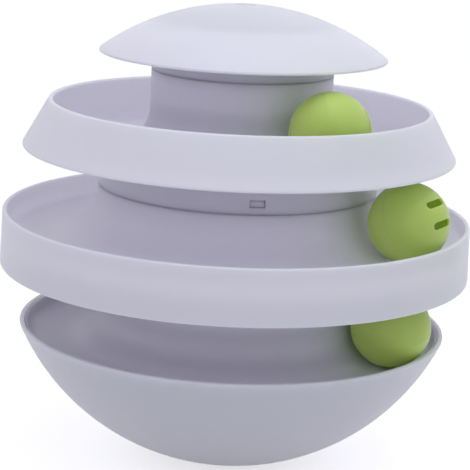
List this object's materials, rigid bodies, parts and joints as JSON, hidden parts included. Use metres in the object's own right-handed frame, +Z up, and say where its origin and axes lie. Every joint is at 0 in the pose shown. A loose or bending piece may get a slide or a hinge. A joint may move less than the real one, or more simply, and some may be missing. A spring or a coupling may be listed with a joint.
{
  "type": "cat ball tower",
  "caption": "Round-bottomed, weighted tower of ring tracks snapped together under a domed cap, with a slotted ball that rolls round each track.",
  "frame": {"origin": "centre of the bowl's small flat foot, on the surface it stands on", "axes": "+Z up the tower's axis, -Y the side that the picture shows as the front, +X to the right of the picture"},
  "size_m": [0.2446, 0.2446, 0.2401],
  "materials": {
    "shell_plastic": "pale lavender-white moulded plastic, satin",
    "ball_plastic": "lime green moulded plastic, satin",
    "bell_brass": "plain pressed bell metal",
    "small_steel": "zinc plated",
    "ballast_iron": "as cast"
  },
  "bodies": {
    "tower": {"base_bowl": "shell_plastic", "ballast_weight": "ballast_iron", "ballast_washer": "small_steel", "ballast_screw": "small_steel", "lower_track": "shell_plastic", "middle_tray": "shell_plastic", "upper_tray": "shell_plastic", "top_cap": "shell_plastic", "crown_plug": "shell_plastic"},
    "cap_latch_a_finger": {"cap_latch_a": "shell_plastic"},
    "cap_latch_b_finger": {"cap_latch_b": "shell_plastic"},
    "upper_latch_a_finger": {"upper_latch_a": "shell_plastic"},
    "upper_latch_b_finger": {"upper_latch_b": "shell_plastic"},
    "middle_latch_a_finger": {"middle_latch_a": "shell_plastic"},
    "middle_latch_b_finger": {"middle_latch_b": "shell_plastic"},
    "lower_jingle": {"lower_bell": "bell_brass", "lower_bell_pea": "small_steel"},
    "lower_ball": {"lower_ball_lipped_half": "ball_plastic", "lower_ball_rebated_half": "ball_plastic"},
    "middle_jingle": {"middle_bell": "bell_brass", "middle_bell_pea": "small_steel"},
    "middle_ball": {"middle_ball_lipped_half": "ball_plastic", "middle_ball_rebated_half": "ball_plastic"},
    "upper_jingle": {"upper_bell": "bell_brass", "upper_bell_pea": "small_steel"},
    "upper_ball": {"upper_ball_lipped_half": "ball_plastic", "upper_ball_rebated_half": "ball_plastic"}
  },
  "joints": [
    {"name": "cap_latch_a_press", "type": "hinge", "parent": "tower", "child": "cap_latch_a_finger", "pos_m": [0.03982, 0.0056, 0.1921], "axis": [0.1392, -0.9903, 0], "range_deg": [0, 5.5], "stiffness_Nm_per_rad": 0.8},
    {"name": "cap_latch_b_press", "type": "hinge", "parent": "tower", "child": "cap_latch_b_finger", "pos_m": [-0.03982, -0.0056, 0.1921], "axis": [-0.1392, 0.9903, 0], "range_deg": [0, 5.5], "stiffness_Nm_per_rad": 0.8},
    {"name": "upper_latch_a_press", "type": "hinge", "parent": "tower", "child": "upper_latch_a_finger", "pos_m": [0.00914, -0.06502, 0.1322], "axis": [-0.9903, -0.1392, 0], "range_deg": [0, 5.5], "stiffness_Nm_per_rad": 0.8},
    {"name": "upper_latch_b_press", "type": "hinge", "parent": "tower", "child": "upper_latch_b_finger", "pos_m": [-0.00914, 0.06502, 0.1322], "axis": [0.9903, 0.1392, 0], "range_deg": [0, 5.5], "stiffness_Nm_per_rad": 0.8},
    {"name": "middle_latch_a_press", "type": "hinge", "parent": "tower", "child": "middle_latch_a_finger", "pos_m": [0.06193, 0.0087, 0.088], "axis": [0.1392, -0.9903, 0], "range_deg": [0, 5.5], "stiffness_Nm_per_rad": 0.8},
    {"name": "middle_latch_b_press", "type": "hinge", "parent": "tower", "child": "middle_latch_b_finger", "pos_m": [-0.06193, -0.0087, 0.088], "axis": [-0.1392, 0.9903, 0], "range_deg": [0, 5.5], "stiffness_Nm_per_rad": 0.8},
    {"name": "lower_ball_orbit", "type": "hinge", "parent": "tower", "child": "lower_jingle", "pos_m": [0, 0, 0.0849], "axis": [0, 0, 1], "continuous": true},
    {"name": "lower_ball_roll", "type": "hinge", "parent": "lower_jingle", "child": "lower_ball", "pos_m": [0.08079, -0.04116, 0.0849], "axis": [0.891, -0.454, 0], "continuous": true},
    {"name": "middle_ball_orbit", "type": "hinge", "parent": "tower", "child": "middle_jingle", "pos_m": [0, 0, 0.1409], "axis": [0, 0, 1], "continuous": true},
    {"name": "middle_ball_roll", "type": "hinge", "parent": "middle_jingle", "child": "middle_ball", "pos_m": [0.08556, -0.0486, 0.1409], "axis": [0.8695, -0.4939, 0], "continuous": true},
    {"name": "upper_ball_orbit", "type": "hinge", "parent": "tower", "child": "upper_jingle", "pos_m": [0, 0, 0.1851], "axis": [0, 0, 1], "continuous": true},
    {"name": "upper_ball_roll", "type": "hinge", "parent": "upper_jingle", "child": "upper_ball", "pos_m": [0.04391, -0.0558, 0.1851], "axis": [0.6184, -0.7859, 0], "continuous": true}
  ],
  "couplings": [
    {"joint": "lower_ball_roll", "follows": "lower_ball_orbit", "ratio": -4.4446},
    {"joint": "middle_ball_roll", "follows": "middle_ball_orbit", "ratio": -4.8235},
    {"joint": "upper_ball_roll", "follows": "upper_ball_orbit", "ratio": -3.4804}
  ]
}
